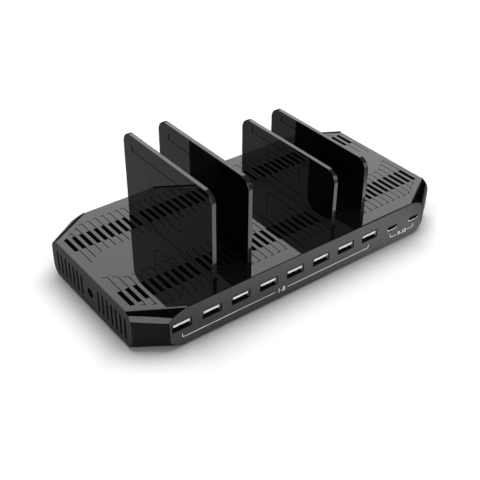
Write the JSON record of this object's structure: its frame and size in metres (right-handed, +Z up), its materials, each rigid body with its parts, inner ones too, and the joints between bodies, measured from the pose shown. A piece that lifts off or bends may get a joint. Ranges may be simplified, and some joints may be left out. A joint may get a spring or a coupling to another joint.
{
  "type": "charging station organizer",
  "caption": "Low charging base with a slotted glossy top plate, a front row of charging sockets, vented ends with a round power inlet, and upright dividers that lift out of the slots.",
  "frame": {"origin": "under the middle of the base, on the surface that its feet stand on", "axes": "+X along the front from left to right, +Y from the front to the back, +Z up"},
  "size_m": [0.241, 0.12, 0.0852],
  "materials": {
    "gloss_body": "polished black moulded plastic",
    "gloss_deck": "polished black plate with fine engraved lines",
    "divider": "polished black acrylic with lighter edges",
    "matte_panel": "fine matte grey moulded plastic",
    "socket_metal": "plated pressed sheet metal",
    "white_plastic": "smooth white moulded plastic",
    "black_plastic": "smooth black moulded plastic",
    "plated_metal": "nickel plated",
    "copper_lead": "tinned copper wire",
    "board": "black solder mask",
    "aluminium": "extruded and anodised",
    "screw_steel": "blackened steel",
    "rubber": "soft black rubber"
  },
  "bodies": {
    "base": {"base_tray": "gloss_body", "top_plate": "gloss_deck", "front_panel": "matte_panel", "rear_panel": "matte_panel", "left_panel": "matte_panel", "right_panel": "matte_panel", "usb_a_shell_1": "socket_metal", "usb_a_shell_2": "socket_metal", "usb_a_shell_3": "socket_metal", "usb_a_shell_4": "socket_metal", "usb_a_shell_5": "socket_metal", "usb_a_shell_6": "socket_metal", "usb_a_shell_7": "socket_metal", "usb_a_shell_8": "socket_metal", "usb_a_tongue_1": "white_plastic", "usb_a_tongue_2": "white_plastic", "usb_a_tongue_3": "white_plastic", "usb_a_tongue_4": "white_plastic", "usb_a_tongue_5": "white_plastic", "usb_a_tongue_6": "white_plastic", "usb_a_tongue_7": "white_plastic", "usb_a_tongue_8": "white_plastic", "usb_c_shell_1": "socket_metal", "usb_c_shell_2": "socket_metal", "usb_c_tongue_1": "black_plastic", "usb_c_tongue_2": "black_plastic", "power_inlet": "black_plastic", "inlet_pin": "plated_metal", "inlet_leads": "copper_lead", "circuit_board": "board", "port_controllers": "black_plastic", "power_coils": "black_plastic", "capacitors": "aluminium", "heat_sink": "aluminium", "board_screws": "plated_metal", "case_screws": "screw_steel", "rubber_foot_1": "rubber", "rubber_foot_2": "rubber", "rubber_foot_3": "rubber", "rubber_foot_4": "rubber"},
    "divider_1": {"divider_1": "divider"},
    "divider_2": {"divider_2": "divider"},
    "divider_3": {"divider_3": "divider"},
    "divider_4": {"divider_4": "divider"}
  },
  "joints": [
    {"name": "divider_1_lift", "type": "slide", "parent": "base", "child": "divider_1", "axis": [0, 0, 1], "range_m": [0, 0.02]},
    {"name": "divider_2_lift", "type": "slide", "parent": "base", "child": "divider_2", "axis": [0, 0, 1], "range_m": [0, 0.02]},
    {"name": "divider_3_lift", "type": "slide", "parent": "base", "child": "divider_3", "axis": [0, 0, 1], "range_m": [0, 0.02]},
    {"name": "divider_4_lift", "type": "slide", "parent": "base", "child": "divider_4", "axis": [0, 0, 1], "range_m": [0, 0.02]}
  ]
}
